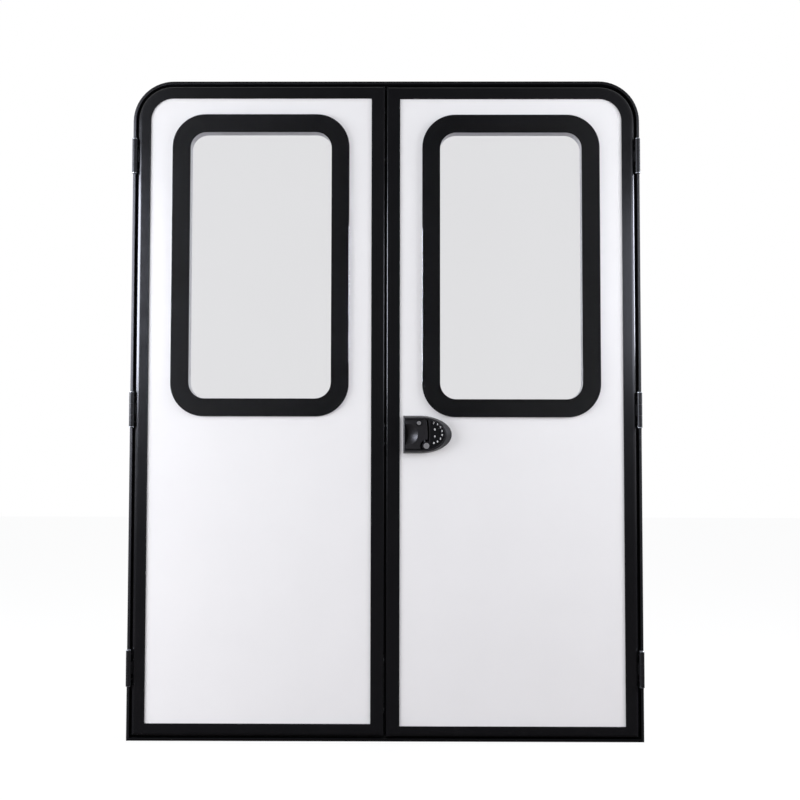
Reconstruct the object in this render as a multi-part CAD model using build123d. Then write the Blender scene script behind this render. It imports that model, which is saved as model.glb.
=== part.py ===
from build123d import *
import os

# Caravan entry door: two leaves in a slim frame, in millimetres, +Z up.
# It is seen from outside along +Y. The origin is on the back face of the frame's flange, at the
# foot of the sill and midway along it, so the wall's outer skin lies in the plane y = 0.

# Frame: a Z-shaped section, with a flange on the wall, a web through it and a stop behind the leaves
FRAME_WIDTH = 1330.0
FRAME_HEIGHT = 1717.0
FRAME_CORNER = 106.0
FRAME_DEPTH = 48.0
FLANGE_FACE = 7.5
FLANGE_T = 3.0
FLANGE_LIP_T = 0.8
FLANGE_SLOPE = 6.0
WEB_T = 3.0
STOP_REACH = 16.5
STOP_T = 3.0
SEAL_WIDTH = 9.0
SEAL_T = 6.0
SEAL_FROM_STOP_EDGE = 2.0
SEAL_EDGE = 2.5
FIXING_HOLE_R = 2.6
JAMB_FIXING_FROM_END = 330.0
JAMB_FIXING_PITCH = 340.0
RAIL_FIXING_FROM_MIDDLE = 300.0

# Leaves: a sandwich panel held in a channel-shaped edge trim
SIDE_GAP = 7.0
HEAD_GAP = 7.0
SILL_GAP = 7.0
MEETING_GAP = 6.5
LEAF_PROUD = 7.0
LEAF_THICKNESS = 30.0
LEAF_TO_SEAL = 5.0
RIGHT_LEAF_DROP = 1.5
TRIM_FACE = 34.0
LEFT_FOOT_FACE = 32.0
RIGHT_FOOT_FACE = 28.0
TRIM_BACK_FACE = 26.0
TRIM_LEG_T = 2.5
TRIM_WEB_T = 3.0
TRIM_EDGE_R = 10.0
MEETING_EDGE_R = 2.5
PANEL_IN_TRIM = 0.5

# Windows: a pane bonded on the panel over a lined cut-out
GLASS_WIDTH = 463.0
GLASS_HEIGHT = 792.0
GLASS_CORNER = 86.0
GLASS_T = 5.0
GLASS_EDGE = 1.2
GLASS_BELOW_TRIM = 42.8
BORDER_WIDTH = 46.5
BORDER_T = 2.0
CLEAR_CORNER = 42.0
LINING_T = 2.0
INNER_FLANGE_WIDTH = 24.0
INNER_FLANGE_T = 2.5
INNER_FLANGE_EDGE = 1.0

# Hinges: a knuckle of the leaf half between two of the frame half, on one capped pin
HINGE_FROM_TOP = 201.0
HINGE_FROM_FOOT = 187.0
HINGE_LENGTH = 94.0
HINGE_CAP_T = 2.5
HINGE_CAP_EDGE = 1.2
KNUCKLE_R = 6.5
KNUCKLE_GAP = 0.5
KNUCKLE_TO_FLANGE = 0.5
BARREL_MARGIN = 0.3
HINGE_PIN_R = 3.0
HINGE_PIN_PLAY = 0.05
HINGE_PLATE_T = 2.0
HINGE_PLATE_DEPTH = 20.0
HINGE_PLATE_FROM_FRONT = 6.5
HINGE_NECK_T = 4.0
LET_IN_PLAY = 0.2

# Lock: a moulded housing with a straight side and a half-oval end, on the right leaf
LOCK_FROM_MEETING = 43.3
LOCK_TOP_ABOVE_GLASS_FOOT = 3.55
LOCK_BASE_LENGTH = 125.5
LOCK_BASE_HEIGHT = 97.5
LOCK_BASE_STRAIGHT = 41.0
LOCK_RISE = 20.5
LOCK_FACE_LENGTH = 109.0
LOCK_FACE_HEIGHT = 88.0
LOCK_FACE_STRAIGHT = 50.0
LOCK_FACE_SETBACK = 2.0
LOCK_FACE_EDGE = 1.0
LOCK_FLOOR_T = 2.5
BODY_WIDTH = 84.0
BODY_HEIGHT = 70.0
BODY_FROM_SIDE = 11.0
BODY_IN_PANEL = 0.5
BAY_SIDE_WALL = 2.0
BAY_END_WALL = 4.5
BAY_LENGTH = 63.0
FINGER_SLOT = 8.0
FINGER_SLOT_HEIGHT = 52.0
PADDLE_GROOVE = 4.5
PADDLE_PLAY = 1.5
PADDLE_BOW = 3.5
PADDLE_T = 12.0
PADDLE_EDGE = 1.0
PADDLE_CORNER = 3.0
PADDLE_PIN_R = 2.0
PADDLE_PIN_PLAY = 0.05
PADDLE_PIN_GRIP = 1.5
PADDLE_PIN_BOSS_GRIP = 4.0
PADDLE_BARREL_R = 4.5
PADDLE_PIN_FROM_GROOVE = 8.0
PADDLE_PIN_BEHIND_FACE = 8.5
SCOOP_R = 27.0
SCOOP_DEPTH = 9.5
SCOOP_FROM_SIDE = 6.5
FINGER_ROOM = 16.0
FINGER_ROOM_WALL = 3.0
KEYPAD_MARGIN = 4.5
KEYPAD_FROM_GROOVE = 2.0
KEYPAD_DEPTH = 2.0
KEYPAD_PLAY = 0.3
KEY_R = 3.2
KEY_RISE = 1.2
KEY_EDGE = 0.5
KEY_ARC_R = 26.0
KEY_ARC_COUNT = 8
KEY_ARC_END = 80.0
KEY_ARC_FROM_GROOVE = 7.0
KEY_ARC_ABOVE_CENTRE = 4.0
KEY_INNER_REACH = 7.0
KEY_INNER_PITCH = 18.0
PADDLE_CYLINDER_R = 6.0
BOLT_CYLINDER_R = 7.5
CYLINDER_RIM_WIDTH = 1.5
CYLINDER_RIM_T = 2.0
CYLINDER_RIM_EDGE = 0.6
KEYWAY_LENGTH = 8.5
KEYWAY_WIDTH = 1.8
KEYWAY_DEPTH = 4.0
PADDLE_KEY_FROM_SIDE = 40.3
PADDLE_KEY_ABOVE_CENTRE = 29.6
BOLT_KEY_FROM_SIDE = 59.4
BOLT_KEY_BELOW_CENTRE = 29.0
BOLT_KEY_BOSS_R = 11.0
BOLT_KEY_BOSS_ROOM = 5.0

# Lock, inside and in the meeting edge
INSIDE_PLATE_T = 3.0
INSIDE_PLATE_MARGIN = 14.0
INSIDE_PLATE_CORNER = 12.0
INSIDE_PLATE_EDGE = 1.5
INSIDE_HANDLE_LENGTH = 78.0
INSIDE_HANDLE_WIDTH = 20.0
INSIDE_HANDLE_RISE = 10.0
INSIDE_HANDLE_EDGE = 3.0
INSIDE_HANDLE_ABOVE_CENTRE = 16.0
THUMB_BASE_R = 13.0
THUMB_BASE_T = 4.0
THUMB_FIN_LENGTH = 22.0
THUMB_FIN_WIDTH = 6.0
THUMB_FIN_RISE = 7.0
THUMB_BELOW_CENTRE = 28.0
EDGE_PLATE_T = 2.0
EDGE_PLATE_WIDTH = 18.0
EDGE_PLATE_LENGTH = 62.0
EDGE_PLATE_CORNER = 4.0
LATCH_FROM_FRONT = 12.0
LATCH_WIDTH = 11.0
LATCH_HEIGHT = 20.0
LATCH_PLAY = 0.3
STRIKE_PLAY = 1.5
STRIKE_POCKET = 16.0
FLUSH_BOLT_LENGTH = 150.0
FLUSH_BOLT_WIDTH = 14.0
FLUSH_BOLT_FROM_END = 130.0
FLUSH_BOLT_DISH_LENGTH = 60.0
FLUSH_BOLT_DISH_DEPTH = 1.2
FLUSH_BOLT_DISH_WIDTH = 11.0

CUT_PAST = 1.0

# Levels through the depth, front to back
FLANGE_FRONT = -FLANGE_T
LEAF_FRONT = FLANGE_FRONT - LEAF_PROUD
LEAF_BACK = LEAF_FRONT + LEAF_THICKNESS
PANEL_FRONT = LEAF_FRONT + TRIM_LEG_T
PANEL_BACK = LEAF_BACK - TRIM_LEG_T
PANEL_EDGE_R = TRIM_EDGE_R - TRIM_WEB_T
GLASS_BACK = PANEL_FRONT - BORDER_T
GLASS_FRONT = GLASS_BACK - GLASS_T
SEAL_FRONT = LEAF_BACK + LEAF_TO_SEAL
STOP_FRONT = SEAL_FRONT + SEAL_T
STOP_BACK = STOP_FRONT + STOP_T
FIXING_Y = (STOP_BACK + FRAME_DEPTH) / 2
HINGE_Y = FLANGE_FRONT - KNUCKLE_TO_FLANGE - KNUCKLE_R
LOCK_FACE = PANEL_FRONT - LOCK_RISE
BAY_FLOOR = PANEL_FRONT - LOCK_FLOOR_T
LATCH_Y = LEAF_FRONT + LATCH_FROM_FRONT

# Places across and up the door, for the right half; the left half is its mirror image
HALF_WIDTH = FRAME_WIDTH / 2
HINGE_X = HALF_WIDTH - BARREL_MARGIN - KNUCKLE_R
WEB_INNER_X = HALF_WIDTH - FLANGE_FACE
LEAF_X0 = MEETING_GAP / 2
LEAF_X1 = WEB_INNER_X - SIDE_GAP
HINGE_TOP_Z = FRAME_HEIGHT - HINGE_FROM_TOP
HINGE_HEIGHTS = {
    "top": HINGE_TOP_Z,
    "middle": (HINGE_TOP_Z + HINGE_FROM_FOOT) / 2,
    "bottom": HINGE_FROM_FOOT,
}
BARREL_LENGTH = HINGE_LENGTH - 2 * HINGE_CAP_T
KNUCKLE_LENGTH = (BARREL_LENGTH - 2 * KNUCKLE_GAP) / 3


def slab(outline, y_front, y_back):
    """An outline drawn in x and z, made solid between two depths."""
    return extrude(Plane.XZ.offset(-y_back) * outline, amount=y_back - y_front)


def block(x0, x1, y0, y1, z0, z1):
    """A plain box between two corners."""
    return Pos((x0 + x1) / 2, (y0 + y1) / 2, (z0 + z1) / 2) * Box(x1 - x0, y1 - y0, z1 - z0)


def upright(x, y, z0, z1, radius):
    """A vertical cylinder."""
    return Pos(x, y, (z0 + z1) / 2) * Cylinder(radius, z1 - z0)


def across(x, z, y0, y1, radius):
    """A cylinder that runs through the depth."""
    return slab(Pos(x, z) * Circle(radius), y0, y1)


def arc_radius(chord, rise):
    """The radius of the arc that rises so far over a chord."""
    return (chord**2 / 4 + rise**2) / (2 * rise)


def front_edges(solid):
    """The edges of a solid that lie nearest to the outside."""
    return solid.edges().group_by(Axis.Y)[0]


def back_edges(solid):
    """The edges of a solid that lie nearest to the cabin."""
    return solid.edges().group_by(Axis.Y)[-1]


# Frame


def frame_outline(inset):
    """The frame's outer line moved inwards: square at the foot and rounded at the top."""
    width = FRAME_WIDTH - 2 * inset
    height = FRAME_HEIGHT - 2 * inset
    outline = Pos(0, FRAME_HEIGHT / 2) * Rectangle(width, height)
    return fillet(outline.vertices().sort_by(Axis.Y)[-2:], FRAME_CORNER - inset)


def frame_band(outer, inner, y_front, y_back):
    return slab(frame_outline(outer) - frame_outline(inner), y_front, y_back)


def fixing_holes():
    """Screw holes through the web behind the stop, into the wall's framing."""
    cuts = []
    middle_z = FRAME_HEIGHT / 2
    low = JAMB_FIXING_FROM_END
    high = FRAME_HEIGHT - JAMB_FIXING_FROM_END
    reach = WEB_T + 2 * CUT_PAST
    for z in (low, middle_z - JAMB_FIXING_PITCH / 2, middle_z + JAMB_FIXING_PITCH / 2, high):
        for side in (-1, 1):
            hole = Cylinder(FIXING_HOLE_R, reach, rotation=(0, 90, 0))
            cuts.append(Pos(side * (WEB_INNER_X + WEB_T / 2), FIXING_Y, z) * hole)
    for x in (-RAIL_FIXING_FROM_MIDDLE, RAIL_FIXING_FROM_MIDDLE):
        for z in (FLANGE_FACE - WEB_T / 2, FRAME_HEIGHT - FLANGE_FACE + WEB_T / 2):
            cuts.append(Pos(x, FIXING_Y, z) * Cylinder(FIXING_HOLE_R, reach))
    return cuts


def make_frame():
    """Two jambs with their bends, the head between the bends, and the sill mitred to the jambs' feet."""
    web_outer = FLANGE_FACE - WEB_T
    stop_inner = FLANGE_FACE + STOP_REACH
    lip = Plane.XZ.offset(FLANGE_LIP_T) * frame_outline(0)
    crest = Plane.XZ.offset(FLANGE_T) * frame_outline(FLANGE_SLOPE)
    flange = slab(frame_outline(0), -FLANGE_LIP_T, 0) + loft([lip.face(), crest.face()], ruled=True)
    flange -= slab(frame_outline(FLANGE_FACE), FLANGE_FRONT - CUT_PAST, CUT_PAST)
    whole = flange + frame_band(web_outer, FLANGE_FACE, FLANGE_FRONT + FLANGE_T / 2, FRAME_DEPTH)
    whole += frame_band(FLANGE_FACE - WEB_T / 2, stop_inner, STOP_FRONT, STOP_BACK)
    for hole in fixing_holes():
        whole -= hole
    mitre = 2 * stop_inner
    foot = Polygon(
        (-HALF_WIDTH, 0),
        (HALF_WIDTH, 0),
        (HALF_WIDTH - mitre, mitre),
        (mitre - HALF_WIDTH, mitre),
        align=None,
    )
    foot = slab(foot, FLANGE_FRONT - CUT_PAST, FRAME_DEPTH + CUT_PAST)
    hoop = whole - foot
    head_end = HALF_WIDTH - FRAME_CORNER
    head_room = slab(
        Pos(0, FRAME_HEIGHT) * Rectangle(2 * head_end, 2 * FRAME_CORNER),
        FLANGE_FRONT - CUT_PAST,
        FRAME_DEPTH + CUT_PAST,
    )
    left_jamb, right_jamb = (hoop - head_room).solids().sort_by(Axis.X)
    return {
        "frame_left_jamb": left_jamb,
        "frame_right_jamb": right_jamb,
        "frame_head": hoop & head_room,
        "frame_sill": whole & foot,
    }


def make_frame_seal():
    """The rubber seal on the front of the stop, behind the leaves' edges."""
    inner = FLANGE_FACE + STOP_REACH - SEAL_FROM_STOP_EDGE
    seal = frame_band(inner - SEAL_WIDTH, inner, SEAL_FRONT, STOP_FRONT)
    return chamfer(front_edges(seal), SEAL_EDGE)


# Hinges


def hinge_spans(z):
    """The lower, middle and upper knuckle's ends, for a hinge centred at z."""
    low = z - BARREL_LENGTH / 2
    step = KNUCKLE_LENGTH + KNUCKLE_GAP
    return [(low + i * step, low + i * step + KNUCKLE_LENGTH) for i in range(3)]


def make_frame_half(z):
    """Two knuckles on a plate that lies on the web's inner side."""
    lower, _, upper = hinge_spans(z)
    plate_x0 = WEB_INNER_X - HINGE_PLATE_T
    plate_y0 = HINGE_Y + KNUCKLE_R + 2 * KNUCKLE_GAP
    half = block(plate_x0, WEB_INNER_X, plate_y0, plate_y0 + HINGE_PLATE_DEPTH, lower[0], upper[1])
    for z0, z1 in (lower, upper):
        half += upright(HINGE_X, HINGE_Y, z0, z1, KNUCKLE_R)
        half += block(plate_x0, WEB_INNER_X, HINGE_Y + HINGE_PIN_R, plate_y0, z0, z1)
    return half - upright(HINGE_X, HINGE_Y, lower[0], upper[1], HINGE_PIN_R)


def leaf_half_blank(z, play):
    """The leaf half's plate and neck; with play, the room that they take in the trim."""
    lower, middle, upper = hinge_spans(z)
    seat = LEAF_X1 - HINGE_PLATE_T
    plate_y0 = LEAF_FRONT + HINGE_PLATE_FROM_FRONT
    plate_y1 = plate_y0 + HINGE_PLATE_DEPTH
    plate = block(seat, LEAF_X1 + play, plate_y0 - play, plate_y1 + play, lower[0] - play, upper[1] + play)
    neck_y0 = plate_y0 - HINGE_NECK_T
    neck = block(seat, HINGE_X, neck_y0 - play, plate_y0 + play, middle[0] - play, middle[1] + play)
    return plate + neck


def make_leaf_half(z):
    """One knuckle on a plate that is let into the leaf's edge."""
    _, (z0, z1), _ = hinge_spans(z)
    half = leaf_half_blank(z, 0) + upright(HINGE_X, HINGE_Y, z0, z1, KNUCKLE_R)
    return half - upright(HINGE_X, HINGE_Y, z0, z1, HINGE_PIN_R + HINGE_PIN_PLAY)


def make_hinge_pin(z):
    """The pin, held in the frame half, with a cap over each end of the barrel."""
    half = BARREL_LENGTH / 2
    pin = upright(HINGE_X, HINGE_Y, z - half, z + half, HINGE_PIN_R)
    for end, z0 in ((1, z + half), (-1, z - half - HINGE_CAP_T)):
        cap = upright(HINGE_X, HINGE_Y, z0, z0 + HINGE_CAP_T, KNUCKLE_R)
        rim = cap.edges().sort_by(Axis.Z)[-1 if end > 0 else 0]
        pin += chamfer(rim, HINGE_CAP_EDGE)
    return pin


# Leaves


class Leaf:
    """Sizes and outlines of one leaf, drawn as a right leaf with its hinges at high x."""

    def __init__(self, side):
        is_right = side == "right"
        drop = RIGHT_LEAF_DROP if is_right else 0.0
        self.z0 = FLANGE_FACE + SILL_GAP - drop
        self.z1 = FRAME_HEIGHT - FLANGE_FACE - HEAD_GAP - drop
        self.corner = FRAME_CORNER - FLANGE_FACE - SIDE_GAP
        self.foot_face = RIGHT_FOOT_FACE if is_right else LEFT_FOOT_FACE
        self.window_x = (LEAF_X0 + LEAF_X1) / 2
        self.window_z = self.z1 - TRIM_FACE - GLASS_BELOW_TRIM - GLASS_HEIGHT / 2
        glass_foot = self.window_z - GLASS_HEIGHT / 2
        self.lock_z = glass_foot + LOCK_TOP_ABOVE_GLASS_FOOT - LOCK_BASE_HEIGHT / 2

    def outline(self, inset, foot_inset=None):
        """The leaf's outer line moved inwards, with a foot of its own where that differs."""
        z0 = self.z0 + (inset if foot_inset is None else foot_inset)
        x0, x1, z1 = LEAF_X0 + inset, LEAF_X1 - inset, self.z1 - inset
        shape = Pos((x0 + x1) / 2, (z0 + z1) / 2) * Rectangle(x1 - x0, z1 - z0)
        top_corner = shape.vertices().sort_by(Axis.X)[-2:].sort_by(Axis.Y)[-1]
        return fillet(top_corner, self.corner - inset)

    def window(self, grow, corner):
        """A rounded outline about the window's centre, grown from the clear opening."""
        width = GLASS_WIDTH - 2 * BORDER_WIDTH + 2 * grow
        height = GLASS_HEIGHT - 2 * BORDER_WIDTH + 2 * grow
        return Pos(self.window_x, self.window_z) * RectangleRounded(width, height, corner)


def make_channel(leaf, edge_r, foot_reach):
    """The channel round the leaf's edge, rounded in front, with its sides run on past the foot."""
    channel = slab(leaf.outline(0, -foot_reach), LEAF_FRONT, LEAF_BACK)
    channel = fillet(front_edges(channel), edge_r)
    panel_room = slab(leaf.outline(TRIM_WEB_T, TRIM_WEB_T - foot_reach), PANEL_FRONT, PANEL_BACK)
    channel -= fillet(front_edges(panel_room), PANEL_EDGE_R)
    face_room = leaf.outline(TRIM_FACE, leaf.foot_face - foot_reach)
    channel -= slab(face_room, LEAF_FRONT - CUT_PAST, PANEL_FRONT)
    back_room = leaf.outline(TRIM_BACK_FACE, TRIM_BACK_FACE - foot_reach)
    channel -= slab(back_room, PANEL_BACK, LEAF_BACK + CUT_PAST)
    for z in HINGE_HEIGHTS.values():
        channel -= leaf_half_blank(z, LET_IN_PLAY)
    return channel


def make_trims(leaf):
    """The three lengths of edge trim, mitred where they meet; the meeting edge is the sharper one."""
    x0, x1, z0, z1 = LEAF_X0, LEAF_X1, leaf.z0, leaf.z1
    foot_z = z0 + leaf.foot_face
    foot_reach = 2 * TRIM_FACE
    down = foot_reach + CUT_PAST
    aside = TRIM_FACE * down / leaf.foot_face
    bottom = Polygon(
        (x0 - aside, z0 - down),
        (x1 + aside, z0 - down),
        (x1 - TRIM_FACE, foot_z),
        (x0 + TRIM_FACE, foot_z),
        align=None,
    )
    meeting = Polygon(
        (x0, z0), (x0 + TRIM_FACE, foot_z), (x0 + TRIM_FACE, z1 - TRIM_FACE), (x0, z1), align=None
    )
    bottom = slab(bottom, LEAF_FRONT - CUT_PAST, LEAF_BACK + CUT_PAST)
    meeting = slab(meeting, LEAF_FRONT - CUT_PAST, LEAF_BACK + CUT_PAST)
    outer_trim = make_channel(leaf, TRIM_EDGE_R, foot_reach) - bottom - meeting
    meeting_trim = make_channel(leaf, MEETING_EDGE_R, foot_reach) & meeting
    bottom_trim = make_channel(leaf, TRIM_EDGE_R, 0) & bottom
    return outer_trim, meeting_trim, bottom_trim


def make_panel(leaf):
    """The white sandwich panel, with its window cut through."""
    panel = slab(leaf.outline(TRIM_WEB_T + PANEL_IN_TRIM), PANEL_FRONT, PANEL_BACK)
    panel = fillet(front_edges(panel), PANEL_EDGE_R)
    cut = leaf.window(LINING_T, CLEAR_CORNER + LINING_T)
    return panel - slab(cut, PANEL_FRONT - CUT_PAST, PANEL_BACK + CUT_PAST)


def make_glass(leaf):
    glass = slab(leaf.window(BORDER_WIDTH, GLASS_CORNER), GLASS_FRONT, GLASS_BACK)
    return chamfer(front_edges(glass), GLASS_EDGE)


def make_border(leaf):
    """The black band behind the edge of the pane: its print and the bond to the panel."""
    band = leaf.window(BORDER_WIDTH, GLASS_CORNER) - leaf.window(0, CLEAR_CORNER)
    return slab(band, GLASS_BACK, PANEL_FRONT)


def make_inner_frame(leaf):
    """A lining through the cut-out with a flange on the inside skin."""
    clear = leaf.window(0, CLEAR_CORNER)
    lining = slab(leaf.window(LINING_T, CLEAR_CORNER + LINING_T), PANEL_FRONT, PANEL_BACK)
    flange_outline = leaf.window(INNER_FLANGE_WIDTH, CLEAR_CORNER + INNER_FLANGE_WIDTH)
    flange = slab(flange_outline, PANEL_BACK, PANEL_BACK + INNER_FLANGE_T)
    flange = chamfer(back_edges(flange), INNER_FLANGE_EDGE)
    opening = slab(clear, PANEL_FRONT - CUT_PAST, PANEL_BACK + INNER_FLANGE_T + CUT_PAST)
    return lining + flange - opening


# Lock


class Lock:
    """Places of the lock on the right leaf."""

    def __init__(self, leaf):
        self.x0 = LEAF_X0 + LOCK_FROM_MEETING
        self.z = leaf.lock_z
        self.bay_x0 = self.x0 + LOCK_FACE_SETBACK + BAY_SIDE_WALL
        self.bay_x1 = self.bay_x0 + BAY_LENGTH
        self.bay_z0 = self.z - LOCK_FACE_HEIGHT / 2 + BAY_END_WALL
        self.bay_z1 = self.z + LOCK_FACE_HEIGHT / 2 - BAY_END_WALL
        self.bow_r = arc_radius(self.bay_z1 - self.bay_z0, PADDLE_BOW)
        self.pin_x = self.bay_x1 - PADDLE_GROOVE - PADDLE_PIN_FROM_GROOVE
        self.pin_y = LOCK_FACE + PADDLE_PIN_BEHIND_FACE
        self.pin_z0 = self.z - BOLT_KEY_BELOW_CENTRE + BOLT_KEY_BOSS_R - PADDLE_PIN_BOSS_GRIP
        self.pin_z1 = self.bay_z1 + PADDLE_PIN_GRIP
        self.paddle_key = (self.x0 + PADDLE_KEY_FROM_SIDE, self.z + PADDLE_KEY_ABOVE_CENTRE)
        self.bolt_key = (self.x0 + BOLT_KEY_FROM_SIDE, self.z - BOLT_KEY_BELOW_CENTRE)
        self.body_x0 = self.x0 + BODY_FROM_SIDE
        self.body_x1 = self.body_x0 + BODY_WIDTH

    def bullet(self, setback, length, height, straight):
        """A straight-sided outline with a half-oval end."""
        x0 = self.x0 + setback
        turn = self.x0 + straight
        half = height / 2
        side = Pos((x0 + turn) / 2, self.z) * Rectangle(turn - x0, height)
        oval = Pos(turn, self.z) * Ellipse(x0 + length - turn, half)
        reach = length + LOCK_BASE_LENGTH
        right_of_turn = Pos(turn + reach / 2, self.z) * Rectangle(reach, 2 * height)
        return side + (oval & right_of_turn)

    def face(self, margin):
        """The outline of the housing's front, moved inwards by a margin."""
        setback = LOCK_FACE_SETBACK + margin
        length, height = LOCK_FACE_LENGTH - 2 * margin, LOCK_FACE_HEIGHT - 2 * margin
        return self.bullet(setback, length, height, LOCK_FACE_STRAIGHT)

    def bay(self, play, groove):
        """The bay's outline, bowed towards the keypad, or that of a piece in it with room round it."""
        x0, height = self.bay_x0 + play, self.bay_z1 - self.bay_z0 - 2 * play
        plate = RectangleRounded(self.bay_x1 - x0, height, PADDLE_CORNER)
        plate = Pos((x0 + self.bay_x1) / 2, self.z) * plate
        return plate & Pos(self.bay_x1 - self.bow_r, self.z) * Circle(self.bow_r - groove)

    def keypad_outline(self, margin):
        """The face's half-oval end beyond the groove, with an even margin."""
        x0 = self.bay_x1 + KEYPAD_FROM_GROOVE + margin
        reach = LOCK_BASE_LENGTH
        beyond = Pos(x0 + reach / 2, self.z) * Rectangle(reach, 2 * LOCK_BASE_HEIGHT)
        return self.face(KEYPAD_MARGIN + margin) & beyond


def make_housing(lock):
    """Drafted shell, bay for the paddle, recess for the keypad, body through the panel."""
    base = lock.bullet(0, LOCK_BASE_LENGTH, LOCK_BASE_HEIGHT, LOCK_BASE_STRAIGHT)
    base = Plane.XZ.offset(-PANEL_FRONT) * base
    face = Plane.XZ.offset(-LOCK_FACE) * lock.face(0)
    housing = loft([base.face(), face.face()], ruled=True)
    housing = chamfer(front_edges(housing), LOCK_FACE_EDGE)
    body_z0, body_z1 = lock.z - BODY_HEIGHT / 2, lock.z + BODY_HEIGHT / 2
    housing += block(lock.body_x0, lock.body_x1, BAY_FLOOR, PANEL_BACK, body_z0, body_z1)
    bay = slab(lock.bay(0, 0), LOCK_FACE - CUT_PAST, BAY_FLOOR)
    room = block(
        lock.body_x0 + FINGER_ROOM_WALL,
        lock.bay_x1 - PADDLE_GROOVE,
        BAY_FLOOR - CUT_PAST,
        BAY_FLOOR + FINGER_ROOM,
        body_z0 + FINGER_ROOM_WALL,
        body_z1 - FINGER_ROOM_WALL,
    )
    boss_x, boss_z = lock.bolt_key
    boss = across(boss_x, boss_z, LOCK_FACE, BAY_FLOOR + FINGER_ROOM, BOLT_KEY_BOSS_R)
    housing = housing - (bay + room - boss)
    housing -= across(boss_x, boss_z, LOCK_FACE - CUT_PAST, BAY_FLOOR, BOLT_CYLINDER_R)
    housing -= slab(lock.keypad_outline(0), LOCK_FACE - CUT_PAST, LOCK_FACE + KEYPAD_DEPTH)
    return housing - make_paddle_pin(lock)


def make_paddle(lock):
    """The pull: a plate with a finger hollow at its free side and a scoop, hung on a pin by the groove."""
    z0, z1 = lock.bay_z0 + PADDLE_PLAY, lock.bay_z1 - PADDLE_PLAY
    hollow_r = arc_radius(FINGER_SLOT_HEIGHT, FINGER_SLOT - PADDLE_PLAY)
    hollow = Pos(lock.bay_x0 + FINGER_SLOT - hollow_r, lock.z) * Circle(hollow_r)
    outline = lock.bay(PADDLE_PLAY, PADDLE_GROOVE) - hollow
    paddle = slab(outline, LOCK_FACE, LOCK_FACE + PADDLE_T)
    paddle = chamfer(front_edges(paddle), PADDLE_EDGE)
    boss_x, boss_z = lock.bolt_key
    notch_r = BOLT_KEY_BOSS_R + BOLT_KEY_BOSS_ROOM
    barrel_z0 = boss_z + notch_r
    paddle += upright(lock.pin_x, lock.pin_y, barrel_z0, z1, PADDLE_BARREL_R)
    paddle -= across(boss_x, boss_z, LOCK_FACE - CUT_PAST, BAY_FLOOR, notch_r)
    ball_r = arc_radius(2 * SCOOP_R, SCOOP_DEPTH)
    scoop_x = lock.bay_x0 + SCOOP_FROM_SIDE
    paddle -= Pos(scoop_x, LOCK_FACE + SCOOP_DEPTH - ball_r, lock.z) * Sphere(ball_r)
    key_x, key_z = lock.paddle_key
    key_back = LOCK_FACE + PADDLE_T + CUT_PAST
    paddle -= across(key_x, key_z, LOCK_FACE - CUT_PAST, key_back, PADDLE_CYLINDER_R)
    return paddle - upright(lock.pin_x, lock.pin_y, z0, z1 + CUT_PAST, PADDLE_PIN_R + PADDLE_PIN_PLAY)


def make_paddle_pin(lock):
    """The pin from the bay's upper wall down into the boss of the lower key cylinder."""
    return upright(lock.pin_x, lock.pin_y, lock.pin_z0, lock.pin_z1, PADDLE_PIN_R)


def make_keypad(lock):
    return slab(lock.keypad_outline(KEYPAD_PLAY), LOCK_FACE, LOCK_FACE + KEYPAD_DEPTH)


def key_places(lock):
    """Keys on an arc round the oval end, and two inside the arc."""
    x = lock.bay_x1 + KEY_ARC_FROM_GROOVE
    z = lock.z + KEY_ARC_ABOVE_CENTRE
    step = 2 * KEY_ARC_END / (KEY_ARC_COUNT - 1)
    places = []
    for i in range(KEY_ARC_COUNT):
        spoke = Vector(KEY_ARC_R, 0).rotate(Axis.Z, KEY_ARC_END - i * step)
        places.append((x + spoke.X, z + spoke.Y))
    for side in (1, -1):
        places.append((x + KEY_INNER_REACH, z + side * KEY_INNER_PITCH / 2))
    return places


def make_keys(lock):
    keys = []
    for x, z in key_places(lock):
        key = across(x, z, LOCK_FACE - KEY_RISE, LOCK_FACE, KEY_R)
        keys.append(chamfer(front_edges(key), KEY_EDGE))
    return Compound(children=keys)


def make_key_cylinder(x, z, radius, y_back):
    """A key cylinder with a rim on the face and a keyway."""
    rim = across(x, z, LOCK_FACE - CYLINDER_RIM_T, LOCK_FACE, radius + CYLINDER_RIM_WIDTH)
    rim = chamfer(front_edges(rim), CYLINDER_RIM_EDGE)
    cylinder = rim + across(x, z, LOCK_FACE, y_back, radius)
    keyway = Pos(x, z) * Rectangle(KEYWAY_WIDTH, KEYWAY_LENGTH)
    front = LOCK_FACE - CYLINDER_RIM_T
    return cylinder - slab(keyway, front - CUT_PAST, front + KEYWAY_DEPTH)


def lock_middle_x(lock):
    return (lock.body_x0 + lock.body_x1) / 2


def make_inside_plate(lock):
    width = BODY_WIDTH + 2 * INSIDE_PLATE_MARGIN
    height = BODY_HEIGHT + 2 * INSIDE_PLATE_MARGIN
    outline = Pos(lock_middle_x(lock), lock.z) * RectangleRounded(width, height, INSIDE_PLATE_CORNER)
    plate = slab(outline, PANEL_BACK, PANEL_BACK + INSIDE_PLATE_T)
    return chamfer(back_edges(plate), INSIDE_PLATE_EDGE)


def make_inside_handle(lock):
    front = PANEL_BACK + INSIDE_PLATE_T
    place = Pos(lock_middle_x(lock), lock.z + INSIDE_HANDLE_ABOVE_CENTRE)
    outline = place * SlotOverall(INSIDE_HANDLE_LENGTH, INSIDE_HANDLE_WIDTH)
    bar = slab(outline, front, front + INSIDE_HANDLE_RISE)
    return chamfer(back_edges(bar), INSIDE_HANDLE_EDGE)


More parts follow.
